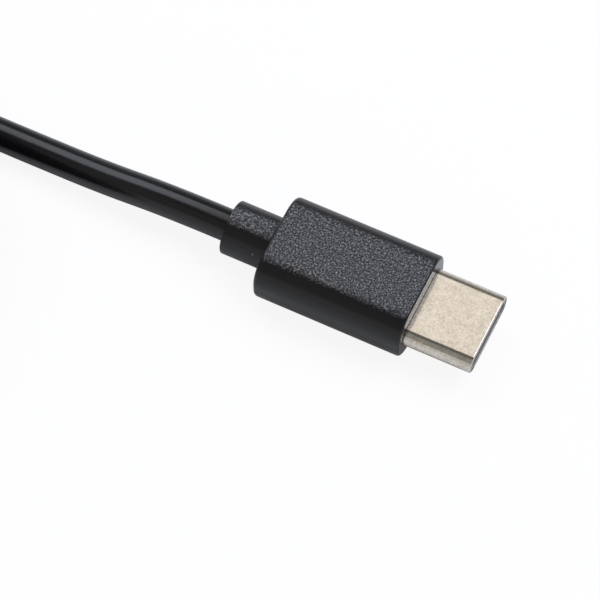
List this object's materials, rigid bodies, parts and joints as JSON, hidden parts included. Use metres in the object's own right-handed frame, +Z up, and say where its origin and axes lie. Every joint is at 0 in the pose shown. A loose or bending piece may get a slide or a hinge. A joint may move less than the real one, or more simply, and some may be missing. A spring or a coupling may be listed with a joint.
{
  "type": "usb-c cable",
  "caption": "Black charging and data cable with the same moulded plug on both ends, its cord wound in a tied coil.",
  "frame": {"origin": "under the middle of the near plug, on the surface that it lies on", "axes": "+X along the near plug towards its mouth, +Z up from the surface through the plug's thickness"},
  "size_m": [0.0855, 0.0445, 0.0157],
  "materials": {
    "black_pvc": "moulded black PVC, fine spark-eroded grain on the broad faces, smooth sides and ends",
    "nickel_plate": "satin nickel plate over deep-drawn stainless steel",
    "tinplate": "dull folded tinplate",
    "black_lcp": "moulded black liquid-crystal polymer",
    "spring_steel": "stamped stainless spring steel",
    "green_laminate": "glass-epoxy board with green solder mask",
    "natural_polyethylene": "hard natural polyethylene inner mould",
    "gold_plate": "gold-plated stamped copper alloy",
    "red_insulation": "extruded core insulation",
    "green_insulation": "extruded core insulation",
    "black_insulation": "extruded core insulation",
    "white_insulation": "extruded core insulation",
    "blue_insulation": "extruded core insulation",
    "cord_jacket": "extruded black PVC jacket, satin",
    "tie_strap": "black woven hook-and-loop strap"
  },
  "bodies": {
    "root": {"near_overmould": "black_pvc", "near_shell": "nickel_plate", "near_shield_can": "tinplate", "near_insulator": "black_lcp", "near_upper_comb": "black_lcp", "near_lower_comb": "black_lcp", "near_latch_plate": "spring_steel", "near_upper_spring": "spring_steel", "near_lower_spring": "spring_steel", "near_circuit_board": "green_laminate", "near_inner_mould": "natural_polyethylene", "near_contact_a1": "gold_plate", "near_contact_a4": "gold_plate", "near_contact_a5": "gold_plate", "near_contact_a6": "gold_plate", "near_contact_a7": "gold_plate", "near_contact_a9": "gold_plate", "near_contact_a12": "gold_plate", "near_contact_b1": "gold_plate", "near_contact_b4": "gold_plate", "near_contact_b5": "gold_plate", "near_contact_b9": "gold_plate", "near_contact_b12": "gold_plate", "near_red_core": "red_insulation", "near_green_core": "green_insulation", "near_black_core": "black_insulation", "near_white_core": "white_insulation", "near_blue_core": "blue_insulation", "far_overmould": "black_pvc", "far_shell": "nickel_plate", "far_shield_can": "tinplate", "far_insulator": "black_lcp", "far_upper_comb": "black_lcp", "far_lower_comb": "black_lcp", "far_latch_plate": "spring_steel", "far_upper_spring": "spring_steel", "far_lower_spring": "spring_steel", "far_circuit_board": "green_laminate", "far_inner_mould": "natural_polyethylene", "far_contact_a1": "gold_plate", "far_contact_a4": "gold_plate", "far_contact_a5": "gold_plate", "far_contact_a6": "gold_plate", "far_contact_a7": "gold_plate", "far_contact_a9": "gold_plate", "far_contact_a12": "gold_plate", "far_contact_b1": "gold_plate", "far_contact_b4": "gold_plate", "far_contact_b5": "gold_plate", "far_contact_b9": "gold_plate", "far_contact_b12": "gold_plate", "far_red_core": "red_insulation", "far_green_core": "green_insulation", "far_black_core": "black_insulation", "far_white_core": "white_insulation", "far_blue_core": "blue_insulation", "near_lead": "cord_jacket", "far_lead": "cord_jacket", "coil": "cord_jacket", "coil_tie": "tie_strap"}
  },
  "joints": []
}
